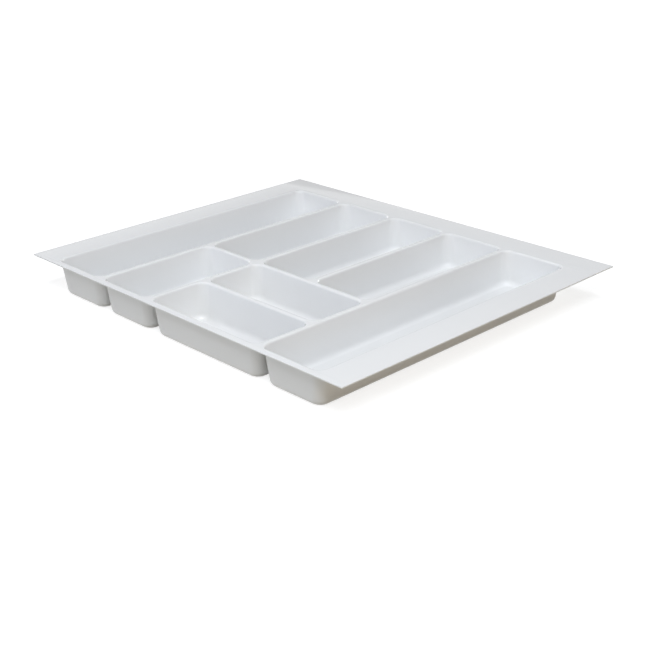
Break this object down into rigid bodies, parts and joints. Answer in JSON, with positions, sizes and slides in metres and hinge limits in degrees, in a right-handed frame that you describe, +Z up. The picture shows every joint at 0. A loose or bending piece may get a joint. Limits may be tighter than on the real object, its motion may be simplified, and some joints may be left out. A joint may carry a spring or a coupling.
{
  "type": "cutlery tray",
  "caption": "Formed plastic drawer insert with long, short and wide open wells for cutlery, rounded ridges between them and a flat flange that is trimmed to fit the drawer.",
  "frame": {"origin": "on the surface that the tray stands on, below the middle of its outline", "axes": "+X along the front edge to the right, +Y from the front edge to the back, +Z up"},
  "size_m": [0.58, 0.485, 0.047],
  "materials": {
    "white_plastic": "satin"
  },
  "bodies": {
    "root": {"front_rim": "white_plastic", "left_trim_flange": "white_plastic", "right_trim_flange": "white_plastic", "rear_trim_flange": "white_plastic", "left_long_compartment": "white_plastic", "front_left_compartment": "white_plastic", "front_wide_compartment": "white_plastic", "middle_wide_compartment": "white_plastic", "rear_left_compartment": "white_plastic", "rear_middle_compartment": "white_plastic", "rear_right_compartment": "white_plastic", "right_long_compartment": "white_plastic"}
  },
  "joints": []
}
